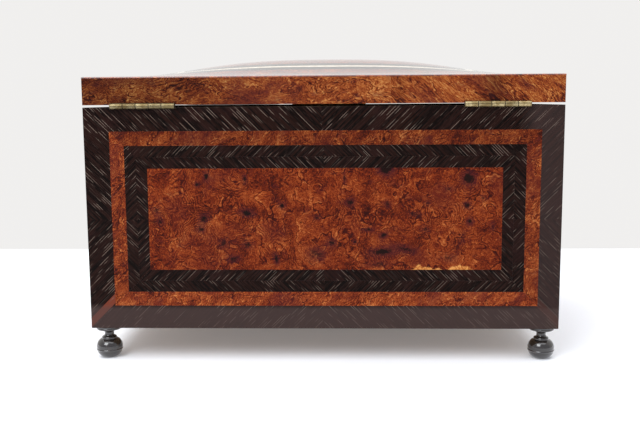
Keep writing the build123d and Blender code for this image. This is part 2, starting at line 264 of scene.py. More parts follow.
def sapwood(paint, wood, fine, u, v, seed, ragged_sap):
    """A ragged strip of yellow sapwood that stands up from the lower edge between two places along it."""
    left, right, floor, height = ragged_sap
    tooth = noise(paint, vector(paint, u, 0.0, seed), 7.0, 2.0)[0]
    inside = rise(paint, u, left - 2, left + 4) * rise(paint, u, right + 2, right - 4)
    edge = (tooth - 0.36) * (height * 3.6) * inside
    sap = rise(paint, edge - (v - floor) + (fine - 0.5) * 2.0, 0.0, 0.9) * inside
    pale = mixed(paint, rise(paint, fine, 0.40, 0.58), colour(0.42, 0.13, 0.02), colour(0.76, 0.38, 0.10))
    return mixed(paint, sap * 0.9, wood, pale)


# %% The burl itself
# From its darkest ground to its gold threads; then the heart of a knot, and the bruise round it.
DEEP = (0.030, 0.005, 0.003)
GROUND = (0.150, 0.019, 0.005)
BRIGHT = (0.310, 0.064, 0.012)
GOLD = (0.56, 0.22, 0.06)
KNOT = colour(0.006, 0.004, 0.003)
BRUISE = colour(0.046, 0.009, 0.013)
STRIP_JUMP = 61.0


def burl(name, seed, turn=0.0, stretch=1.0, curl=1.0, warm=0.0, hue=(1, 1, 1), polish=DULL,
         ragged_sap=None):
    """Polished thuya burl. turn and stretch draw its figure out one way; curl scales the figure."""
    paint = Paint(name)
    at, u, v = face_mm(paint)
    c = math.cos(math.radians(turn))
    s = math.sin(math.radians(turn))
    along = (u * c + v * s) * (1 / stretch)
    across = v * c - u * s
    place = vector(paint, along, across, mark(paint, "strip") * STRIP_JUMP + seed)
    slow_value, slow = noise(paint, place, 20.0 * curl, 3.0, 0.6)
    bent = pushed(paint, place, slow, 17.0 * curl)
    quick = noise(paint, bent, 5.0 * curl, 3.0, 0.65)[1]
    curled = pushed(paint, bent, quick, 3.4 * curl)
    drift = noise(paint, bent, 9.0 * curl, 3.0, 0.6)[0]
    dark_line, light_line = growth_lines(paint, bent, curled, curl)
    stray_dark, stray_light = stray_lines(paint, bent, curl)

    fine = noise(paint, curled, 1.5 * curl, 3.0, 0.65, 0.5)[0]
    grit = noise(paint, curled, 0.62, 3.0, 0.7)[0]
    thread = rise(paint, abs(noise(paint, curled, 2.1 * curl, 2.0, 0.55)[0] - 0.5), 0.045, 0.0)
    hair = rise(paint, abs(noise(paint, curled, 1.1 * curl, 2.0, 0.55)[0] - 0.5), 0.040, 0.0)
    cells = paint.add("TexVoronoi", {"feature": "F1"}, {"Vector": curled, "Scale": 1 / (5.5 * curl)})
    chosen = rise(paint, paint.add("SeparateColor", None, {0: cells[1]})[0], 0.62, 0.66)
    eye = rise(paint, cells[0], 0.22, 0.06) * chosen
    eye_ring = rise(paint, abs(cells[0] - 0.28), 0.05, 0.0) * chosen

    level = (fine - 0.5) * 0.66 + (grit - 0.5) * 1.15 + (slow_value - 0.5) * 0.65 + (drift - 0.5) * 0.70
    level = level + 0.365 + warm + thread * 0.17 + hair * 0.13 + light_line * 0.15 - dark_line * 0.30
    level = level + stray_light * 0.16 - stray_dark * 0.26 - eye_ring * 0.12
    stops = [(0.14, DEEP), (0.40, GROUND), (0.62, BRIGHT), (0.95, GOLD)]
    wood = paint.add("ValToRGB", {"stops": stops}, {0: level})[0]
    wood = mixed(paint, eye * 0.75, wood, colour(0.020, 0.004, 0.003))
    shade = noise(paint, place, 34.0 * curl, 2.0)[0]
    wood = mixed(paint, rise(paint, shade, 0.50, 0.68) * 0.45, wood, colour(0.085, 0.012, 0.009))
    blotch = noise(paint, bent, 6.0 * curl, 2.0, 0.6)[0] + (grit - 0.5) * 0.35
    wood = mixed(paint, rise(paint, blotch, 0.56, 0.74) * 0.42, wood, colour(0.060, 0.009, 0.010))
    if ragged_sap:
        wood = sapwood(paint, wood, fine, u, v, seed, ragged_sap)

    ragged = (noise(paint, curled, 1.6, 3.0, 0.75)[0] - 0.5) * 1.7
    bruise = rise(paint, mark(paint, "bruise") + ragged * 0.5, 0.12, 0.85)
    heart = rise(paint, mark(paint, "knot") + ragged, 0.36, 0.92)
    wood = mixed(paint, bruise * 0.66, wood, BRUISE)
    wood = mixed(paint, heart * 0.92, wood, KNOT)
    wood = paint.add("VectorMath", {"operation": "MULTIPLY"}, {0: wood, 1: hue})[0]
    # The tint mark scales the colour; on the band strips it is painted light, by side.
    wood = paint.add("VectorMath", {"operation": "SCALE"}, {0: wood, "Scale": mark(paint, "tint")})[0]
    relief = bump(paint, fine * 0.5 + dark_line * -0.4 + heart * -0.8, 0.02)
    return paint.finish(polish, Base_Color=wood, Roughness=0.30 + grit * 0.12, Normal=relief)


# %% [markdown]
# The bands are a nearly black wood, sawn so that its open pores show as fine pale scratches. In the
# outer band they slant towards the corners, changing hand at the middle of each side. The inner band is
# a herringbone of two rows, whose chevrons point from the middle of each side to its corners. Folding
# the face over its two centre lines with absolute values gives both patterns their symmetry, and a sign
# keeps the four quarters from being copies. A pore is a straight hairline: the band is ruled in narrow
# lanes, each with one line in it, and a noise along the lane says where that line starts and stops.

# %% Dark banding
DIAGONAL = 0.7071


def banding(name, herringbone, seed, polish=DULL, corner_streak=0.0):
    """Dark banded wood; its figure is folded over the middle of the face."""
    paint = Paint(name)
    _, u, v = face_mm(paint)
    row = mark(paint, "row")
    a = abs(u)
    b = abs(v)
    hand = row * 2.0 - 1.0 if herringbone else -1.0
    quarter = u.math("SIGN") * 17.0 + v.math("SIGN") * 31.0
    quarter = quarter + mark(paint, "strip") * 7.0 + row * 53.0 + seed
    wander = noise(paint, vector(paint, u, v, quarter), 18.0, 1.0)[0] * 0.3
    across = (a + b * hand + wander) * DIAGONAL
    along = (a - b * hand) * DIAGONAL

    def streaks(width, length, low, high, shift):
        """Soft streaks: a noise drawn out along the grain."""
        place = vector(paint, across * (1 / width), along * (1 / length), quarter + shift)
        return rise(paint, noise(paint, place, 1.0, 0.0)[0], low, high)

    def scratches(pitch, half_width, length, low, high, shift):
        """Straight hairlines, one to a lane; a noise along the lane says where each starts and stops."""
        turn = across * (1 / pitch)
        lane = turn.math("FLOOR")
        middle = noise(paint, vector(paint, lane * 3.7, shift, quarter), 1.0, 0.0)[0]
        line = rise(paint, abs(turn.math("FRACT") - middle), half_width / pitch, half_width / pitch * 0.4)
        place = vector(paint, lane * 7.31, along * (1 / length), quarter + shift)
        return line * rise(paint, noise(paint, place, 1.0, 0.0)[0], low, high)

    patch = noise(paint, vector(paint, u, v, quarter), 14.0, 2.0)[0]
    open_grain = rise(paint, patch, 0.34, 0.52)
    pores = scratches(1.35, 0.19, 10.0, 0.54, 0.66, 0.0) * (open_grain * 0.85 + 0.15)
    hairs = scratches(0.80, 0.18, 5.0, 0.50, 0.58, 40.0)
    ribbon = streaks(1.0, 60.0, 0.38, 0.62, 80.0)
    wood = mixed(paint, ribbon, colour(0.0032, 0.0012, 0.0008), colour(0.0125, 0.0042, 0.0028))
    wood = mixed(paint, rise(paint, patch, 0.52, 0.70) * 0.5, wood, colour(0.017, 0.0055, 0.0045))
    wood = mixed(paint, hairs * 0.15, wood, colour(0.085, 0.046, 0.038))
    wood = mixed(paint, pores * (0.46 if herringbone else 0.60), wood, colour(0.25, 0.185, 0.145))
    if corner_streak:
        beside = rise(paint, abs(a - b - corner_streak - 3.4), 3.4, 2.6) * rise(paint, v, 0.0, -5.0)
        side = rise(paint, u, 1.0, -1.0) * 0.75 + 0.2
        wood = mixed(paint, beside * side * (1 - pores), wood, colour(0.150, 0.034, 0.018))
        # Painted light: the band greys towards its bottom edge as a painted reflection of the table, and
        # towards its right end as painted light from that side.
        painted_light = (rise(paint, v, -53.0, -58.0) * 0.62).math("MAXIMUM", rise(paint, u, 119.0, 131.0) * 0.34)
        wood = mixed(paint, painted_light, wood, colour(0.064, 0.042, 0.038))
    sunk = bump(paint, pores * -1.0, 0.03)
    return paint.finish(polish, Base_Color=wood, Roughness=0.38 - pores * 0.1, Normal=sunk)


# %% [markdown]
# The rest of the finishes are plainer: aged brass, black lacquer on the turned feet, straight-grained
# boards, a pale line of holly, and the short pile of the velvet pads.

# %% Aged brass
TARNISHED = colour(0.20, 0.145, 0.060)
RUBBED = colour(0.50, 0.42, 0.235)


def brass(name, joints_from=None, knuckle=8.0, tone=1.0):
    """Aged brass, brown where the polish never reaches, such as the joints between a hinge's knuckles."""
    paint = Paint(name)
    at = object_mm(paint)
    cloud = noise(paint, at, 3.5, 4.0, 0.65)[0]
    fleck = noise(paint, at, 0.8, 3.0, 0.6)[0]
    lines = noise(paint, object_mm(paint, (0.25, 4.0, 4.0)), 1.0, 2.0)[0]
    grime = rise(paint, fleck, 0.58, 0.72) * 0.75
    metal = mixed(paint, rise(paint, cloud, 0.40, 0.64), TARNISHED, RUBBED)
    if joints_from is not None:
        x_at = paint.add("SeparateXYZ", None, {0: at})[0]
        place = (x_at - joints_from) / knuckle
        step = place.math("FRACT")
        shut = rise(paint, abs(step - 0.5), 0.455, 0.485)
        grime = grime.math("MAXIMUM", shut * 0.96)
        knuckle_tone = noise(paint, vector(paint, place.math("FLOOR"), 0.5, 0.5), 0.7)[0]
        metal = mixed(paint, rise(paint, knuckle_tone, 0.35, 0.65) * 0.6, metal, colour(0.30, 0.22, 0.10))
        # Painted highlight: every second knuckle is darkened, so the ones between read as bright highlight
        # bars.
        other = rise(paint, ((x_at - joints_from) / (knuckle * 2)).math("FRACT"), 0.49, 0.51)
        metal = mixed(paint, other * 0.45, metal, colour(0.16, 0.115, 0.055))
    metal = mixed(paint, grime, metal, colour(0.030, 0.018, 0.008))
    # tone scales the colour; for the hinges it carries painted shade.
    metal = paint.add("VectorMath", {"operation": "SCALE"}, {0: metal, "Scale": tone})[0]
    return paint.finish(
        Base_Color=metal,
        Metallic=0.96 - grime * 0.6,
        Roughness=0.24 + cloud * 0.2 + grime * 0.2,
        Normal=bump(paint, lines + fleck * 0.5, 0.02),
    )


# %% Lacquer, boards, holly and velvet
def lacquer():
    """Black lacquer over turned wood: fine rings of the lathe and rubbed brown patches."""
    paint = Paint("black_lacquer")
    at = object_mm(paint)
    rings = noise(paint, object_mm(paint, (0.05, 0.05, 2.2)), 1.0, 2.0)[0]
    rubbed = rise(paint, noise(paint, at, 4.0, 3.0, 0.6)[0], 0.56, 0.72)
    body = mixed(paint, rubbed * 0.6, colour(0.014, 0.010, 0.0085), colour(0.040, 0.027, 0.020))
    return paint.finish(
        Base_Color=body,
        Roughness=0.16 + rubbed * 0.2,
        Normal=bump(paint, rings, 0.03),
        Coat_Weight=0.9,
        Coat_Roughness=0.06,
    )


def boards(name, dark, light, grain, gloss=0.45):
    """Straight-grained boards; grain gives the stretch along x, y and z."""
    paint = Paint(name)
    at = object_mm(paint, grain)
    bend = noise(paint, at, 9.0, 2.0)[1]
    lengthwise = pushed(paint, at, bend, 2.5)
    figure = noise(paint, lengthwise, 3.2, 4.0, 0.6)[0]
    pores = rise(paint, noise(paint, lengthwise, 0.45, 2.0)[0], 0.60, 0.72)
    wood = mixed(paint, rise(paint, figure, 0.32, 0.68), colour(*dark), colour(*light))
    wood = mixed(paint, pores * 0.55, wood, colour(*(0.35 * d for d in dark)))
    relief = bump(paint, pores * -1.0 + figure * 0.3, 0.04)
    return paint.finish(Base_Color=wood, Roughness=gloss + pores * 0.2, Normal=relief)


def holly():
    """Pale stringing, faintly streaked along its length."""
    paint = Paint("holly_line")
    at, _, _ = face_mm(paint)
    streak = noise(paint, at, 4.0, 4.0, 0.7)[0]
    pale = rise(paint, streak, 0.35, 0.7)
    wood = mixed(paint, pale, colour(0.62, 0.52, 0.38), colour(0.80, 0.73, 0.60))
    relief = bump(paint, streak, 0.01)
    return paint.finish(GLOSS, Base_Color=wood, Roughness=0.3 + streak * 0.1, Normal=relief)


def velvet():
    """Crimson velvet: mottled pile with a soft sheen."""
    paint = Paint("crimson_velvet")
    at = object_mm(paint)
    pile = noise(paint, at, 0.5, 2.0, 0.6)[0]
    nap = noise(paint, at, 22.0, 3.0, 0.6)[0]
    lie = rise(paint, nap, 0.35, 0.65)
    cloth = mixed(paint, lie, colour(0.125, 0.006, 0.012), colour(0.165, 0.009, 0.017))
    cloth = mixed(paint, rise(paint, pile, 0.45, 0.7) * 0.5, cloth, colour(0.05, 0.003, 0.006))
    return paint.finish(
        Base_Color=cloth,
        Roughness=0.82 + pile * 0.15,
        Normal=bump(paint, pile, 0.25),
        Sheen_Weight=0.35,
        Sheen_Roughness=0.4,
        Sheen_Tint=colour(0.9, 0.35, 0.4),
        Specular_IOR_Level=0.2,
    )


# %% [markdown]
# A sheet of veneer is a slab 0.9 mm thick. Its face is a grid of points over a four-sided outline,
# whose rows crowd together at the borders so that the edge can be eased there, and its sides and back
# close it. The same slab function serves flat faces and the dome, because it only joins two grids of
# points. Cells can be left out of the grid, which is how the seats of the hinges and the keyhole are
# cut.

# %% Grids
# Millimetres: the easing of an edge, and half the joint between two strips.
EASE = 0.05
JOINT = 0.012


def crowded(length, step):
    """Positions from 0 to length, close together at both ends and about step apart between."""
    ends = np.array([0.0, 0.03, 0.07, 0.12, 0.25, 0.5, 0.85, 1.2, 1.6])
    ends = ends[ends < length / 2]
    middle = np.array([length / 2])
    if length > 6:
        middle = np.linspace(2.4, length - 2.4, max(2, int(length / step)))
    return np.unique(np.concatenate([ends, middle, length - ends]))


def rounded(distance, radius):
    """How far a quarter-round edge falls away near the border: radius minus the circle's height."""
    inside = np.clip(radius - distance, 0, radius)
    return radius - np.sqrt(radius**2 - inside**2)


def quad_grid(corners, step, cuts=()):
    """Bilinear grid over A, B on the outer edge and C, D on the inner one: points and edge distance."""
    a, b, c, d = (np.array(p, float) for p in corners)
    long = np.linalg.norm(b - a)
    wide = abs((b - a)[0] * (d - a)[1] - (b - a)[1] * (d - a)[0]) / long
    t = np.unique(np.concatenate([crowded(long, step), [abs(x - a[0]) for x in cuts]])) / long
    s = crowded(wide, step) / wide
    t = JOINT / long + t * (1 - 2 * JOINT / long)
    s = JOINT / wide + s * (1 - 2 * JOINT / wide)
    tt, ss = np.meshgrid(t, s, indexing="ij")
    top = a + (b - a) * tt[..., None]
    bottom = d + (c - d) * tt[..., None]
    points = top + (bottom - top) * ss[..., None]
    ends = np.minimum(tt, 1 - tt) * long * 0.7
    return points, np.minimum(ends, np.minimum(ss, 1 - ss) * wide)


def ripple(points, seed, reach=0.05):
    """Slow unevenness of a hand-laid sheet: four sine waves of 20 to 60 mm, from 0 to reach."""
    rng = np.random.default_rng(seed)
    waves = rng.uniform(-1, 1, (4, 2)) * 2 * np.pi / 26
    phases = rng.uniform(0, 2 * np.pi, 4)
    total = sum(np.sin(points @ w + p) for w, p in zip(waves, phases))
    return reach * (total / 8 + 0.5)


# %% Slabs
def slab(front, back, kept=None):
    """Closed shell between two grids: front faces, back faces, and a wall wherever the kept cells end."""
    rows, columns = front.shape[:2]
    kept = np.ones((rows - 1, columns - 1), bool) if kept is None else kept
    number = np.arange(rows * columns).reshape(rows, columns)
    under = number + rows * columns
    p, q, r, s = number[:-1, :-1], number[1:, :-1], number[1:, 1:], number[:-1, 1:]
    faces = [np.stack([p, q, r, s], -1)[kept], (np.stack([s, r, q, p], -1) + rows * columns)[kept]]
    padded = np.pad(kept, 1)
    middle = padded[1:-1, 1:-1]
    for open_side, first, second in (
        (middle & ~padded[:-2, 1:-1], s, p),
        (middle & ~padded[2:, 1:-1], q, r),
        (middle & ~padded[1:-1, :-2], p, q),
        (middle & ~padded[1:-1, 2:], r, s),
    ):
        one, two = first[open_side], second[open_side]
        faces.append(np.stack([two, one, under.ravel()[one], under.ravel()[two]], -1))
    points = np.concatenate([front.reshape(-1, 3), back.reshape(-1, 3)])
    return points, np.concatenate(faces)


def joined(parts):
    """Several (points, faces, ...) shells as one; every further array is joined too."""
    shift, points, faces, extras = 0, [], [], [[] for _ in parts[0][2:]]
    for part in parts:
        points.append(part[0])
        faces.append(part[1] + shift)
        shift += len(part[0])
        for store, extra in zip(extras, part[2:]):
            store.append(extra)
    return (np.concatenate(points), np.concatenate(faces), *(np.concatenate(store) for store in extras))


# %% Pieces
def piece(name, points, faces, materials, body, nodes=(), uv=None, marks=None, which=None,
          smooth=35):
    """A mesh object from millimetre points and quads, riding on its body and standing for CAD nodes."""
    mesh = bpy.data.meshes.new(name)
    mesh.vertices.add(len(points))
    mesh.vertices.foreach_set("co", (points * MM).ravel())
    mesh.loops.add(faces.size)
    mesh.loops.foreach_set("vertex_index", faces.ravel())
    mesh.polygons.add(len(faces))
    mesh.polygons.foreach_set("loop_start", np.arange(len(faces)) * faces.shape[1])
    if uv is not None:
        layer = mesh.uv_layers.new(name="face")
        layer.data.foreach_set("uv", (uv * MM)[faces.ravel()].ravel())
    for key, values in (marks or {}).items():
        mesh.attributes.new(key, "FLOAT", "POINT").data.foreach_set("value", values)
    for material in materials if isinstance(materials, list) else [materials]:
        mesh.materials.append(material)
    if which is not None:
        mesh.polygons.foreach_set("material_index", which)
    mesh.update(calc_edges=True)
    mesh.validate()
    cleaned = bmesh.new()
    cleaned.from_mesh(mesh)
    loose = [v for v in cleaned.verts if not v.link_faces]
    bmesh.ops.delete(cleaned, geom=loose, context="VERTS")
    bmesh.ops.recalc_face_normals(cleaned, faces=cleaned.faces)
    cleaned.to_mesh(mesh)
    cleaned.free()
    mesh.shade_smooth()
    mesh.set_sharp_from_angle(angle=math.radians(smooth))
    obj = bpy.data.objects.new(name, mesh)
    bpy.context.scene.collection.objects.link(obj)
    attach(obj, body)
    if nodes:
        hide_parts(*nodes)
    return obj


# %% [markdown]
# The rear centre panel is the sheet that faces the room here, so its knots, loops and the ragged strip
# of yellow sapwood along its lower edge are listed. The other faces are cut from the same burl and
# take whatever knots the cell pattern gives them.

# %% The sheets' materials
# Each row is x, y, half width, half height, tilt and weight, from the middle of the panel.
REAR_KNOTS = [
    (-73.0, 27.0, 1.2, 2.4, 0, 1.0), (-79.0, 22.0, 1.2, 1.2, 0, 0.9), (-49.0, 25.0, 0.9, 1.9, 10, 1.0),
    (-105.0, 6.0, 1.9, 1.8, 0, 0.70), (-102.5, -1.4, 1.6, 2.0, 0, 0.75), (-75.0, 0.5, 2.2, 1.9, 30, 1.0),
    (-77.0, -6.4, 1.6, 1.4, 0, 0.95), (-48.0, 4.0, 2.9, 1.5, -12, 1.15), (-26.0, 8.6, 1.5, 1.5, 30, 1.0),
    (-63.0, -15.0, 2.2, 2.3, 0, 0.75), (-48.0, -16.0, 2.4, 1.8, 0, 0.85), (-57.0, -25.0, 2.6, 1.5, 10, 0.95),
    (-30.0, -25.0, 1.1, 2.6, 12, 1.0), (-4.6, 1.0, 1.5, 1.3, 0, 0.8), (-7.7, -21.5, 3.6, 3.2, 0, 0.62),
    (-2.0, -22.7, 2.4, 2.4, 0, 0.55), (4.6, -14.6, 1.9, 1.8, 0, 0.9), (16.0, 10.5, 2.1, 1.9, 0, 0.9),
    (12.6, 26.0, 0.8, 2.4, 0, 0.85), (38.0, 31.2, 2.9, 2.6, 0, 1.4), (89.0, 25.0, 2.9, 2.7, -20, 1.25),
    (88.0, 8.6, 1.6, 1.7, 0, 1.0), (77.0, 18.7, 2.4, 1.1, -5, 0.7), (56.0, 3.0, 2.9, 1.2, -8, 0.70),
    (39.0, 9.5, 1.6, 1.6, 0, 0.80), (62.5, -6.4, 2.1, 1.4, 0, 0.72), (27.0, -6.4, 2.5, 0.8, 0, 0.95),
    (37.0, -10.0, 2.2, 1.3, 35, 0.95), (36.0, -20.5, 5.2, 1.8, 4, 1.15), (19.0, -14.0, 0.9, 0.9, 0, 0.95),
    (51.0, -19.0, 5.4, 1.8, -16, 0.72), (77.0, -24.6, 3.6, 2.1, 0, 0.62), (90.0, -1.4, 1.4, 1.4, 0, 0.95),
    (104.0, -4.5, 0.9, 1.8, 0, 0.8), (34.0, -28.6, 5.5, 1.4, 4, 0.70), (85.0, -12.0, 1.3, 4.4, -22, 0.55),
    (-91.0, -16.0, 1.0, 1.0, 0, 0.7), (64.0, 10.0, 1.2, 1.1, 0, 0.75), (98.0, 13.0, 1.3, 1.5, 0, 0.7),
]
REAR_SWIRLS = [
    (73.0, 7.6, 8.6, 9.5, 0, 0.30), (77.0, -8.0, 8.6, 9.0, 10, 0.28), (-78.0, -8.0, 10.0, 11.0, 8, 0.34),
    (-102.5, -1.4, 6.0, 8.5, 0, 0.30), (-88.0, 14.0, 7.0, 12.0, -14, 0.26), (37.0, -20.0, 11.0, 6.0, 4, 0.24),
    (17.0, -15.0, 6.0, 11.0, 8, 0.20), (-46.0, -8.0, 13.0, 9.0, 0, 0.18), (89.0, 20.0, 8.0, 9.0, 0, 0.24),
]


def hills(points, spots, spread=1.0):
    """Sum of smooth hills, each weight times exp(-(x^2 + y^2)) in its own turned and scaled axes."""
    total = np.zeros(points.shape[:-1])
    for x, y, wide, high, tilt, weight in spots:
        c, s = math.cos(math.radians(tilt)), math.sin(math.radians(tilt))
        du, dv = points[..., 0] - x, points[..., 1] - y
        across, up = (du * c + dv * s) / (wide * spread), (dv * c - du * s) / (high * spread)
        total += weight * np.exp(-(across**2 + up**2))
    return total


PANEL_HUE = (0.80, 0.70, 0.72)
BAND_HUE = (0.84, 0.88, 1.00)
EDGE_HUE = (0.84, 1.06, 1.20)
rear_burl = burl("thuya_burl_rear", 3.0, hue=PANEL_HUE, ragged_sap=(46.0, 92.0, -31.8, 2.8))
panel_burl = burl("thuya_burl_panels", 40.0, hue=PANEL_HUE)
band_burl = burl("thuya_burl_bands", 80.0, turn=50.0, stretch=1.6, curl=0.6, hue=BAND_HUE)
edge_burl = burl("thuya_burl_lid_edge", 120.0, 4.0, 1.8, 0.7, 0.05, EDGE_HUE)
flame_burl = burl("thuya_burl_flame", 160.0, -38.0, 3.4, 0.7, 0.07, EDGE_HUE)
top_burl = burl("thuya_burl_top", 200.0, polish=GLOSS)
outer_dark = banding("dark_band_outer", False, 5.0)
rear_dark = banding("dark_band_rear", False, 9.0, corner_streak=77.8)
inner_dark = banding("dark_band_herringbone", True, 25.0)
top_dark = banding("dark_band_top", False, 45.0, GLOSS)
print("burl materials; knots set by hand", len(REAR_KNOTS))


# %% [markdown]
# Each upright face is a frame of three mitred bands round a panel. The outlines come from the CAD
# sheets: a band runs from its own outline in to the outline of the next sheet. Each band is laid in
# four strips that meet in mitres, as a cabinet maker lays them, and the herringbone's strips are two
# rows each. The outer arrises of the box are rounded over, and the rear sheet is cut for the hinges,
# the front ones for the keyhole.

# %% A face and its outlines
# Painted light, as a brightness for each side's strips: the top ones darker as painted shade under the lid,
# the bottom ones lighter as a painted reflection of the table, the left ones a little lighter.
PAINTED_SIDE_LIGHT = {"top": 0.80, "bottom": 1.25, "left": 1.10, "right": 1.0}
ARRIS = 0.75


class Face:
    """An upright face: its centre on the outside, its rightward and outward ways, and its half sizes."""

    def __init__(self, sheet, out):
        low, high = box_mm(sheet)
        self.out = np.array(out, float)
        self.up = np.array([0.0, 0.0, 1.0])
        self.right = np.cross(self.up, self.out)
        self.centre = (low + high) / 2
        self.thick = float(abs((high - low) @ self.out))
        self.centre += self.out * self.thick / 2
        self.half = np.array([abs((high - low) @ self.right) / 2, (high - low)[2] / 2])

    def outline(self, sheet):
        """A sheet's rectangle on this face: left, right, bottom, top."""
        low, high = box_mm(sheet)
        reach = sorted([(low - self.centre) @ self.right, (high - self.centre) @ self.right])
        return reach[0], reach[1], low[2] - self.centre[2], high[2] - self.centre[2]

    def solid(self, points, depth):
        """Face coordinates and a depth below the face, as points in space."""
        flat = self.centre + points[..., :1] * self.right + points[..., 1:] * self.up
        return flat - np.asarray(depth)[..., None] * self.out


FACES = {
    "front": Face("front_outer_band", (0, -1, 0)),
    "rear": Face("rear_outer_band", (0, 1, 0)),
    "left": Face("left_outer_band", (-1, 0, 0)),
    "right": Face("right_outer_band", (1, 0, 0)),
}


print("faces, mm wide and high", {name: (2 * face.half).round(1).tolist() for name, face in FACES.items()})


# %% Strips of a face
def mitred(outer, inner, rows=1):
    """The four strips between two rectangles as (side, row, corners); rows split each strip."""
    found = []
    for row in range(rows):
        mix = [o + (i - o) * row / rows for o, i in zip(outer, inner)]
        nxt = [o + (i - o) * (row + 1) / rows for o, i in zip(outer, inner)]
        (l, r, b, t), (ll, rr, bb, tt) = mix, nxt
        found += [
            ("top", row, [(l, t), (r, t), (rr, tt), (ll, tt)]),
            ("bottom", row, [(r, b), (l, b), (ll, bb), (rr, bb)]),
            ("left", row, [(l, b), (l, t), (ll, tt), (ll, bb)]),
            ("right", row, [(r, t), (r, b), (rr, bb), (rr, tt)]),
        ]
    return found


def hinge_gaps(face):
    """Left and right end of each hinge on a face, in its own coordinates."""
    spans = [face.outline(f"hinge_{side}_pin")[:2] for side in ("left", "right")]
    return [(a - 0.05, b + 0.05) for a, b in spans]


def laid(face, corners, number, arris, thick, holes=(), cuts=(), side="top", row=0, step=4.0):
    """One strip as a slab with its face coordinates and marks; holes are left out of its grid."""
    points, edge = quad_grid(corners, step, cuts)
    border = face.half - np.abs(points)
    depth = np.maximum(rounded(edge, EASE), ripple(points, number))
    depth = np.maximum(depth, rounded(border[..., 0], arris[0]) + rounded(border[..., 1], arris[1]))
    depth = np.minimum(depth, thick - 0.05)
    kept = np.ones((points.shape[0] - 1, points.shape[1] - 1), bool)
    centre = (points[:-1, :-1] + points[1:, 1:]) / 2
    for left, right, bottom, top in holes:
        inside = (centre[..., 0] > left) & (centre[..., 0] < right)
        kept &= ~(inside & (centre[..., 1] > bottom) & (centre[..., 1] < top))
    solid, faces = slab(face.solid(points, depth), face.solid(points, np.full(depth.shape, thick)), kept)
    count = len(solid)
    flat = np.concatenate([points.reshape(-1, 2)] * 2)
    strip = np.full(count, (number * 0.37) % 1.0)
    # The strip's painted light, by its side.
    tint = np.full(count, PAINTED_SIDE_LIGHT[side])
    return solid, faces, flat, strip, np.full(count, float(row)), tint


# %% [markdown]
# Now the four faces are laid, sheet by sheet. The hinges' seats go as deep as the hinge leaf hangs
# below the top of the rear sheet, and the keyhole's hole is a little smaller than its brass escutcheon,
# which covers its edge. The rear centre panel has the finest grid, because its knots and swirls are
# numbers kept on its points.

# %% Lay the four faces
seat = float(box_mm("rear_outer_band")[1][2] - box_mm("hinge_left_body_leaf")[0][2])
key_low, key_high = box_mm("keyhole_escutcheon")
number = 0
for side, face in FACES.items():
    sheets = [f"{side}_outer_band", f"{side}_burl_band", f"{side}_inner_band", f"{side}_centre_panel"]
    rects = [face.outline(name) for name in sheets]
    finish = (outer_dark, band_burl, inner_dark, panel_burl)
    if side == "rear":
        finish = (rear_dark, band_burl, inner_dark, rear_burl)
    arris = (ARRIS if side in ("front", "rear") else 0.02, 0.5)
    holes, cuts = (), ()
    if side == "rear":
        gaps = hinge_gaps(face)
        holes = [(a, b, face.half[1] - seat, face.half[1] + 1) for a, b in gaps]
        cuts = [x for gap in gaps for x in gap]
    if side == "front":
        middle = (key_low[2] + key_high[2]) / 2 - face.centre[2]
        holes = [(-2.8, 2.8, middle - 6.0, middle + 4.6)]
        cuts = [-2.8, 2.8]
    for level, name in enumerate(sheets):
        rows = 2 if level == 2 else 1
        if level < 3:
            strips = mitred(rects[level], rects[level + 1], rows)
        else:
            l, r, b, t = rects[3]
            strips = [("top", 0, [(l, t), (r, t), (r, b), (l, b)])]
        parts = []
        for place, row, corners in strips:
            number += 1
            edge_cuts = cuts if place == "top" and (level == 0 or side == "front") else ()
            step = 0.8 if (side, level) == ("rear", 3) else 4.0
            strip = laid(face, corners, number, arris, face.thick, holes, edge_cuts, place, 1 - row, step)
            parts.append(strip)
        points, faces, flat, strip, rowed, tint = joined(parts)
        flat = flat - np.array([sum(rects[level][:2]) / 2, sum(rects[level][2:]) / 2])
        marks = {"strip": strip, "row": rowed, "tint": tint}
        if level == 3:
            marks["tint"] = np.ones(len(points))
        if (side, level) == ("rear", 3):
            marks["knot"] = hills(flat, REAR_KNOTS, 1.25)
            marks["bruise"] = hills(flat, REAR_KNOTS, 2.3) * 0.85
            marks["swirl"] = hills(flat, REAR_SWIRLS) + hills(flat, REAR_KNOTS, 2.6) * 0.12
            marks["ringed"] = hills(flat, REAR_SWIRLS, 1.3) * 0.6
        piece(f"{name}_veneer", points, faces, finish[level], "box", [name], flat, marks)
print("strips laid", number)


# %% [markdown]
# The lid's edge is one sheet a side. On the back it is pieced from two lengths of burl whose seam
# shows: a calm one and one with slanting flame figure. The top arris is rounded on the sheet of the
# top, so these stop just under it.

# %% Edge of the lid
SEAM = 42.0


def droop(x):
    """How far the front edge has dropped, mm: none at one end, 1.34 from beside the lock to near the end."""
    return 1.34 / (1 + np.exp(-(x - 38) / 2.5)) / (1 + np.exp((x - 128) / 3.0))


def edge_tint(u):
    """Darker at the left end, lighter from the middle on, and dark in a patch near the right hinge."""
    left = 0.56 + 0.55 / (1 + np.exp(-(u + 62) / 14))
    return left * (1 - 0.45 * np.exp(-(((u - 105) / 7) ** 2)) - 0.35 * np.exp(-(((u - 47) / 2.0) ** 2)))


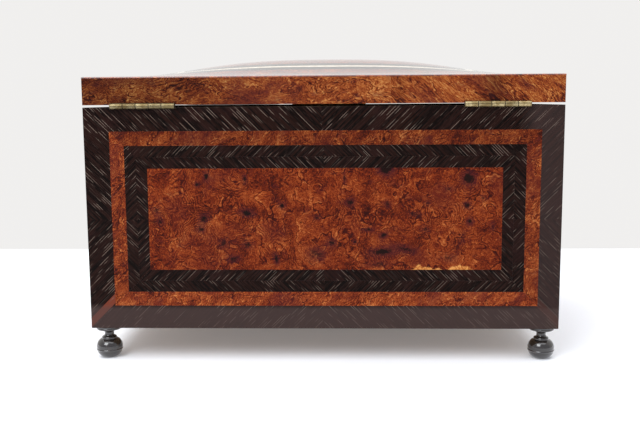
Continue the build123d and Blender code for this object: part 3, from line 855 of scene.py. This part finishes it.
for side, out in (("front", (0, -1, 0)), ("rear", (0, 1, 0)), ("left", (-1, 0, 0)), ("right", (1, 0, 0))):
    node = f"lid_edge_veneer_{side}"
    face = Face(node, out)
    l, r, b, t = face.outline(node)
    holes, cuts, spans = (), (), [(l, r)]
    if side == "rear":
        gaps = hinge_gaps(face)
        holes = [(x0, x1, b - 1, b + seat) for x0, x1 in gaps]
        cuts = [x for gap in gaps for x in gap]
        spans = [(l, SEAM), (SEAM, r)]
    arris = (ARRIS if side in ("front", "rear") else 0.02, 0.02)
    parts, counts = [], []
    for x0, x1 in spans:
        number += 1
        inside_cuts = [x for x in cuts if x0 < x < x1]
        corners = [(x0, t), (x1, t), (x1, b), (x0, b)]
        # These strips keep the top strips' painted shade from laid's default side; the rear one's tint is
        # replaced below.
        parts.append(laid(face, corners, number, arris, face.thick, holes, inside_cuts))
        counts.append(len(parts[-1][1]))
    points, faces, flat, strip, rowed, tint = joined(parts)
    if side == "front":
        points[:, 2] -= droop(points[:, 0]) * (t - flat[:, 1]) / (t - b)
    if side == "rear":
        tint = edge_tint(flat[:, 0])
    which = np.repeat(np.arange(len(counts)), counts)
    marks = {"strip": strip, "row": rowed, "tint": tint}
    finish = [edge_burl, flame_burl]
    piece(f"{node}_sheet", points, faces, finish, "lid", [node], flat, marks, which)
print("lid edge sheets laid")


# %% [markdown]
# The top of the lid is a pillow: level along its rim and highest in the middle. Its height over the rim
# is the square of the product of two arches, one along the lid and one across. The same five rings of
# veneer as a marquetry border follow it, each a slab between the curved top and the board under it.

# %% Domed top
rim_low, rim_high = box_mm("top_border")
lid_half = (rim_high - rim_low)[:2] / 2
lid_centre = ((rim_high + rim_low) / 2)[:2]
shoulder = float(box_mm("lid_edge_veneer_rear")[1][2] + FACES["rear"].thick)
crest = cad_high[2] / MM
ALONG, ACROSS = 2.8, 2.0


def crown(points):
    """Height of the top: rim plus rise times ((1 - |x|^2.8) (1 - y^2)) squared, x and y from -1 to 1."""
    x, y = np.moveaxis(np.abs(points - lid_centre) / lid_half, -1, 0)
    arches = np.clip(1 - x**ALONG, 0, None) * np.clip(1 - y**ACROSS, 0, None)
    return shoulder + (crest - shoulder) * arches**2


def domed(corners, number, outer_arris, thick):
    """One strip of the top as a slab between the crown and a surface a sheet's thickness lower."""
    points, edge = quad_grid(corners, 4.0)
    depth = np.maximum(rounded(edge, EASE * 0.6), ripple(points, number, 0.03))
    border = lid_half - np.abs(points - lid_centre)
    depth = np.maximum(depth, rounded(border[..., 0], outer_arris))
    depth = np.maximum(depth, rounded(border[..., 1], outer_arris))
    top = np.concatenate([points, (crown(points) - depth)[..., None]], -1)
    under = np.concatenate([points, (crown(points) - thick)[..., None]], -1)
    solid, faces = slab(top, under)
    flat = np.concatenate([points.reshape(-1, 2)] * 2) - lid_centre
    count = len(solid)
    return solid, faces, flat, np.full(count, (number * 0.37) % 1.0), np.zeros(count), np.full(count, 1.0)


# %% Lay the top
TOP_ARRIS = 0.8
TOP = ("top_border", "top_outer_band", "top_stringing", "top_inner_band", "top_centre_field")
TOP_FINISH = (top_burl, top_dark, holly(), top_dark, top_burl)
rects = []
for name in TOP:
    low, high = box_mm(name)
    rects.append((low[0], high[0], low[1], high[1]))
sheet_thick = float(shoulder - rim_low[2])
for level, name in enumerate(TOP):
    if level < 4:
        strips = mitred(rects[level], rects[level + 1])
    else:
        l, r, b, t = rects[4]
        strips = [("top", 0, [(l, t), (r, t), (r, b), (l, b)])]
    parts = []
    for _, _, corners in strips:
        number += 1
        parts.append(domed(corners, number, TOP_ARRIS, sheet_thick))
    points, faces, flat, strip, rowed, tint = joined(parts)
    marks = {"strip": strip, "row": rowed, "tint": tint}
    piece(f"{name}_sheet", points, faces, TOP_FINISH[level], "lid", [name], flat, marks)
print("top rises mm", round(crest - shoulder, 2))


# %% [markdown]
# The feet are small turnings in black: a collar under the box, a waist, a bead, and a flattened ball
# with a fine ridge below its middle. A turning is a profile carried round an axis, so it is a grid of
# angle against profile point.

# %% Profile of a foot
DOWEL_RADIUS = 3.0
DOWEL_LENGTH = 5.0


def arc(start, middle, end, count):
    """Points on the circle through three points: the centre is where their bisectors cross."""
    (ax, ay), (bx, by), (cx, cy) = start, middle, end
    d = 2 * (ax * (by - cy) + bx * (cy - ay) + cx * (ay - by))
    ox = ((ax**2 + ay**2) * (by - cy) + (bx**2 + by**2) * (cy - ay) + (cx**2 + cy**2) * (ay - by)) / d
    oy = ((ax**2 + ay**2) * (cx - bx) + (bx**2 + by**2) * (ax - cx) + (cx**2 + cy**2) * (bx - ax)) / d
    first, mid, last = (math.atan2(y - oy, x - ox) for x, y in (start, middle, end))
    turn = (last - first) % (2 * math.pi)
    if (mid - first) % (2 * math.pi) > turn:
        turn -= 2 * math.pi
    angles = first + np.linspace(0, turn, count)
    radius = math.hypot(ax - ox, ay - oy)
    return np.stack([ox + radius * np.cos(angles), oy + radius * np.sin(angles)], -1)


def foot_profile(height, dowel, peg):
    """Radius and height down a foot, from the middle of its sole to the top of its dowel."""
    runs = [
        np.array([[0.3, 0.0], [2.0, 0.0], [3.5, 0.0]]),
        arc((3.9, 0.06), (6.5, 1.6), (8.05, 4.75), 14),
        np.array([[8.2, 4.86], [8.34, 5.02], [8.4, 5.2], [8.4, 5.35], [8.34, 5.52], [8.18, 5.66]]),
        arc((8.14, 5.9), (7.75, 9.4), (5.15, 12.05), 18),
        np.array([[4.85, 12.12], [4.78, 12.25], [4.8, 12.5]]),
        arc((4.8, 12.75), (4.5, 13.35), (3.6, 13.8), 7),
        arc((3.45, 13.95), (2.9, 15.3), (3.3, 16.6), 10),
        arc((3.4, 16.75), (4.8, 17.75), (7.0, 18.2), 9),
        arc((7.2, 18.25), (7.65, 18.45), (7.9, 18.85), 6),
        np.array([[7.9, 19.2], [7.9, 19.5], [7.75, 19.6], [7.75, 19.7], [7.9, 19.8]]),
        np.array([[7.9, height - 0.12], [7.8, height - 0.02], [6.0, height], [dowel, height]]),
        np.array([[dowel, height + peg / 2], [dowel, height + peg]]),
        np.array([[1.5, height + peg], [0.3, height + peg]]),
    ]
    return np.concatenate(runs)


# %% Turn the feet
def turned(profile, centre, count=72):
    """Closed turning: each profile point carried round the axis, the small end rings closed with quads."""
    angles = np.linspace(0, 2 * np.pi, count, endpoint=False)
    ring = np.stack([np.cos(angles), np.sin(angles)], -1)
    flat = profile[:, None, :1] * ring[None] + centre
    height = np.broadcast_to(profile[:, None, 1:], flat[..., :1].shape)
    points = np.concatenate([flat, height], -1).reshape(-1, 3)
    number = np.arange(len(profile) * count).reshape(len(profile), count)
    after = np.roll(number, -1, 1)
    walls = np.stack([number[:-1], after[:-1], after[1:], number[1:]], -1).reshape(-1, 4)
    step = np.arange(count // 2 - 1)
    caps = []
    for row in number[[0, -1]]:
        caps.append(np.stack([row[step], row[step + 1], row[-2 - step], row[-1 - step]], -1))
    return points, np.concatenate([walls, *caps])


black = lacquer()
foot_height = float(box_mm("bottom_board")[0][2])
profile = foot_profile(foot_height, DOWEL_RADIUS, DOWEL_LENGTH)
for end in ("front", "rear"):
    for hand in ("left", "right"):
        node = f"foot_{end}_{hand}"
        low, high = box_mm(node)
        points, faces = turned(profile, ((low + high) / 2)[:2])
        piece(f"{node}_turning", points, faces, black, "box", [node], smooth=60)
print("feet turned, mm high", round(foot_height, 2))


# %% [markdown]
# The pads in the box and under the lid are thin boards wrapped in velvet. Each is a closed form that
# swells a little towards its middle, with soft edges and rounded corners.

# %% Velvet pads
cloth = velvet()
PAD_CORNER = 6.0
PAD_EDGE = 1.8
PAD_CROWN = 14.0


def pad(node, faces_up):
    """Crowned pad: height 0.55 + 0.42 (1 - exp(-edge / crown)), rounded at the edge, gently uneven."""
    low, high = box_mm(node)
    size, centre = high - low, (low + high) / 2
    half_x, half_y = size[0] / 2, size[1] / 2
    u, v = (np.sign(w) * (1 - (1 - np.abs(w)) ** 1.6) for w in (np.linspace(-1, 1, n) for n in (141, 99)))
    x, y = np.meshgrid(u * half_x, v * half_y, indexing="ij")
    edge = np.minimum(half_x - np.abs(x), half_y - np.abs(y))
    past_x = np.abs(x) - half_x + PAD_CORNER
    past_y = np.abs(y) - half_y + PAD_CORNER
    corner = np.hypot(np.maximum(past_x, 0), np.maximum(past_y, 0))
    inward = np.where(corner > PAD_CORNER, PAD_CORNER / np.maximum(corner, 1e-6), 1)
    x = np.sign(x) * np.where(inward < 1, half_x - PAD_CORNER + past_x * inward, np.abs(x))
    y = np.sign(y) * np.where(inward < 1, half_y - PAD_CORNER + past_y * inward, np.abs(y))
    round_off = np.sqrt(np.clip(1 - (1 - np.clip(edge / PAD_EDGE, 0, 1)) ** 2, 0, 1))
    rng = np.random.default_rng(11 if faces_up else 12)
    waves = sum(
        np.sin(x * a + y * b + c)
        for a, b, c in zip(rng.uniform(-0.09, 0.09, 5), rng.uniform(-0.09, 0.09, 5), rng.uniform(0, 6, 5))
    )
    height = (0.55 + 0.42 * (1 - np.exp(-edge / PAD_CROWN)) + 0.006 * waves) * (0.25 + 0.75 * round_off)
    lift = np.clip(height, 0, 1) * size[2]
    plan = np.stack([x + centre[0], y + centre[1]], -1)
    face = low[2] + lift if faces_up else high[2] - lift
    back = np.full(x.shape, low[2] if faces_up else high[2])
    return slab(np.concatenate([plan, face[..., None]], -1), np.concatenate([plan, back[..., None]], -1))


for node, body, faces_up in (("base_pad", "box", True), ("lid_pad", "lid", False)):
    points, faces = pad(node, faces_up)
    cushion = piece(f"{node}_velvet", points, faces, cloth, body, [node], smooth=80)
print("pads crowned")


# %% [markdown]
# The carcase, linings, lock, hinges and screws keep their CAD shapes, so they only get a finish.

# %% Finishes of the CAD parts
metal = brass("aged_brass")
# Painted shade: the hinge on the side light's side has its brass darkened to about half.
HINGE_SHADE = {"left": 1.0, "right": 0.52}
hinge_metal = {}
for side, tone in HINGE_SHADE.items():
    hinge_metal[side] = brass(f"hinge_brass_{side}", box_mm(f"hinge_{side}_pin")[0][0], tone=tone)
CARCASE_DARK, CARCASE_LIGHT = (0.20, 0.115, 0.055), (0.36, 0.23, 0.12)
ROSE_DARK, ROSE_LIGHT = (0.050, 0.018, 0.010), (0.15, 0.055, 0.026)
carcase_x = boards("carcase_long", CARCASE_DARK, CARCASE_LIGHT, (0.12, 1.0, 1.0))
carcase_y = boards("carcase_cross", CARCASE_DARK, CARCASE_LIGHT, (1.0, 0.12, 1.0))
lining_wood = boards("lining_rosewood", ROSE_DARK, ROSE_LIGHT, (0.15, 0.15, 1.0), 0.35)
for node in NODES.values():
    name = node.name
    if node.hide_render:
        continue
    if name in ("left_wall", "right_wall", "lid_left_rail", "lid_right_rail"):
        material = carcase_y
    elif name == "wall_linings":
        material = lining_wood
    elif "wall" in name or "rail" in name or "board" in name:
        material = carcase_x
    elif name.startswith("hinge"):
        material = hinge_metal[name.split("_")[1]]
    else:
        material = metal
    node.data.materials.clear()
    node.data.materials.append(material)
print("CAD parts finished", sum(not n.hide_render for n in NODES.values()))


# %% [markdown]
# The stage is a white table top that ends behind the casket, against a pale wall. One large floor does
# both: past the table's edge it turns to the wall's tone, which the world has too, so no horizon shows.
# The table gives off a little light of its own, so the shadow under the casket stays pale. A large soft
# light hangs overhead, and a small one to the side puts the highlights on the feet.

# %% Table and wall
# Metres: where the table ends behind the casket, and how far the floor goes on.
TABLE_END = -0.30
WALL = (0.875, 0.865, 0.855)
ROOM = (0.60, 0.62, 0.68)
REACH = 9.0
corners = [(-REACH, -REACH, 0), (REACH, -REACH, 0), (REACH, REACH, 0), (-REACH, REACH, 0)]
floor_mesh = bpy.data.meshes.new("table_top")
floor_mesh.from_pydata(corners, [], [(0, 1, 2, 3)])
floor = bpy.data.objects.new("table_top", floor_mesh)
bpy.context.scene.collection.objects.link(floor)
floor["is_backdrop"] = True
paint = Paint("table_and_wall")
at = object_mm(paint)
y_at = paint.add("SeparateXYZ", None, {0: at})[1]
weave = rise(paint, noise(paint, at, 260.0, 2.0)[0], 0.3, 0.7)
cloth_tone = mixed(paint, weave, colour(0.82, 0.83, 0.86), colour(0.84, 0.85, 0.88))
paint.finish(Base_Color=cloth_tone, Roughness=0.9, Emission_Color=cloth_tone, Emission_Strength=0.155)
beyond = rise(paint, y_at, TABLE_END / MM + 4, TABLE_END / MM - 4)
wall_tone = paint.add("Emission", None, {"Color": colour(*WALL), "Strength": 1.0})[0]
table = Value(paint, paint.surface.outputs[0])
both = paint.add("MixShader", None, {0: beyond, 1: table, 2: wall_tone})[0]
paint.feed(paint.tree.nodes["Material Output"].inputs[0], both)
floor_mesh.materials.append(paint.material)

world = bpy.data.worlds.new("room")
bpy.context.scene.world = world
sky = Paint("room", world)
toward = sky.add("SeparateXYZ", None, {0: sky.add("TexCoord")[0]})[1]
tone = sky.add("ValToRGB", {"stops": [(0.0, WALL), (0.55, ROOM)]}, {0: toward})[0]
sky.feed(sky.tree.nodes["Background"].inputs[0], tone)


# %% Lights
def softbox(name, place, aim, size, watts):
    """A square area light at place that looks at aim."""
    light = bpy.data.lights.new(name, "AREA")
    light.shape = "SQUARE"
    light.size = size
    light.energy = watts
    light.color = (0.96, 0.98, 1.0)
    lamp = bpy.data.objects.new(name, light)
    bpy.context.scene.collection.objects.link(lamp)
    lamp.location = place
    lamp.rotation_euler = (Vector(aim) - Vector(place)).to_track_quat("-Z", "Y").to_euler()
    return lamp


softbox("overhead", (0.10, 0.0, 1.5), (0, 0, 0), 2.3, 27.0)
softbox("window_side", (0.60, 1.10, 1.05), (0, 0.1, 0.02), 0.75, 12.0)
bpy.context.scene.view_settings.view_transform = "Standard"


# %% [markdown]
# The camera stands behind the casket, just above its lid joint and a little to one side, and looks
# slightly down.

# %% Camera
camera_data = bpy.data.cameras.new("back_view")
camera_data.lens = 47.8
camera_data.sensor_width = 36.0
camera_data.clip_start = 0.01
camera = bpy.data.objects.new("back_view", camera_data)
bpy.context.scene.collection.objects.link(camera)
right = Vector((-0.9994, -0.0328, -0.0067)).normalized()
forward = Vector((0.0334, -0.9906, -0.1330)).normalized()
up = right.cross(forward).normalized()
turn = Matrix((right, up, -forward)).transposed().to_4x4()
camera.matrix_world = Matrix.Translation((-0.0162, 0.6257, 0.1641)) @ turn
bpy.context.scene.camera = camera
print("camera at mm", [round(v / MM, 1) for v in camera.location])


# %% [markdown]
# The sizes of the CAD model and of what stands in for it are kept side by side, so a difference shows.

# %% Sizes and finish
low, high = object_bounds()
print("visual model mm", [round(v / MM, 1) for v in high - low])
